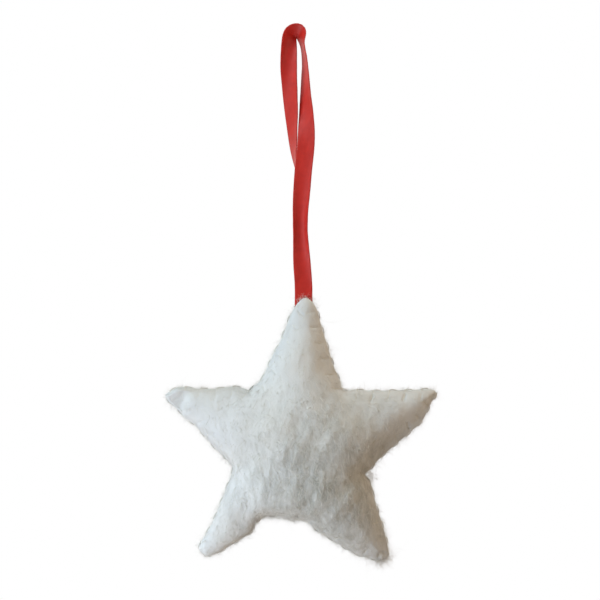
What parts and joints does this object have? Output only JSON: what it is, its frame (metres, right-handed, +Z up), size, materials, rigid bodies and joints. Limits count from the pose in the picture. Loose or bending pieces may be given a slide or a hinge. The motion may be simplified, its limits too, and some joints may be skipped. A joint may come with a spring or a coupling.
{
  "type": "felt star ornament",
  "caption": "Stuffed felt star for hanging, whip-stitched round its edge, on a long loop of red satin ribbon caught in its top point.",
  "frame": {"origin": "the point under the top of the ribbon loop where it rests on the hook or twig that carries it", "axes": "+Z up, along the hanging ribbon; +X to the right when the star's front is seen; -Y out of the star's front face"},
  "size_m": [0.0985, 0.027, 0.1939],
  "materials": {
    "felt": "fuzzy wool felt",
    "stuffing": "loose fibre fill",
    "thread": "twisted cotton thread",
    "ribbon": "satin weave"
  },
  "bodies": {
    "ribbon_loop": {"ribbon_loop": "ribbon"},
    "ribbon_neck": {"ribbon_neck_front": "ribbon", "ribbon_neck_back": "ribbon"},
    "star": {"front_felt": "felt", "back_felt": "felt", "stuffing": "stuffing", "edge_stitching": "thread", "ribbon_tail_front": "ribbon", "ribbon_tail_back": "ribbon"}
  },
  "joints": [
    {"name": "ribbon_twist", "type": "hinge", "parent": "ribbon_loop", "child": "ribbon_neck", "pos_m": [0.00163, 0, -0.0839], "axis": [0, 0, 1], "range_deg": [-180, 180]},
    {"name": "star_swing", "type": "hinge", "parent": "ribbon_neck", "child": "star", "pos_m": [0.0022, 0, -0.0931], "axis": [1, 0, 0], "range_deg": [-90, 90]}
  ]
}
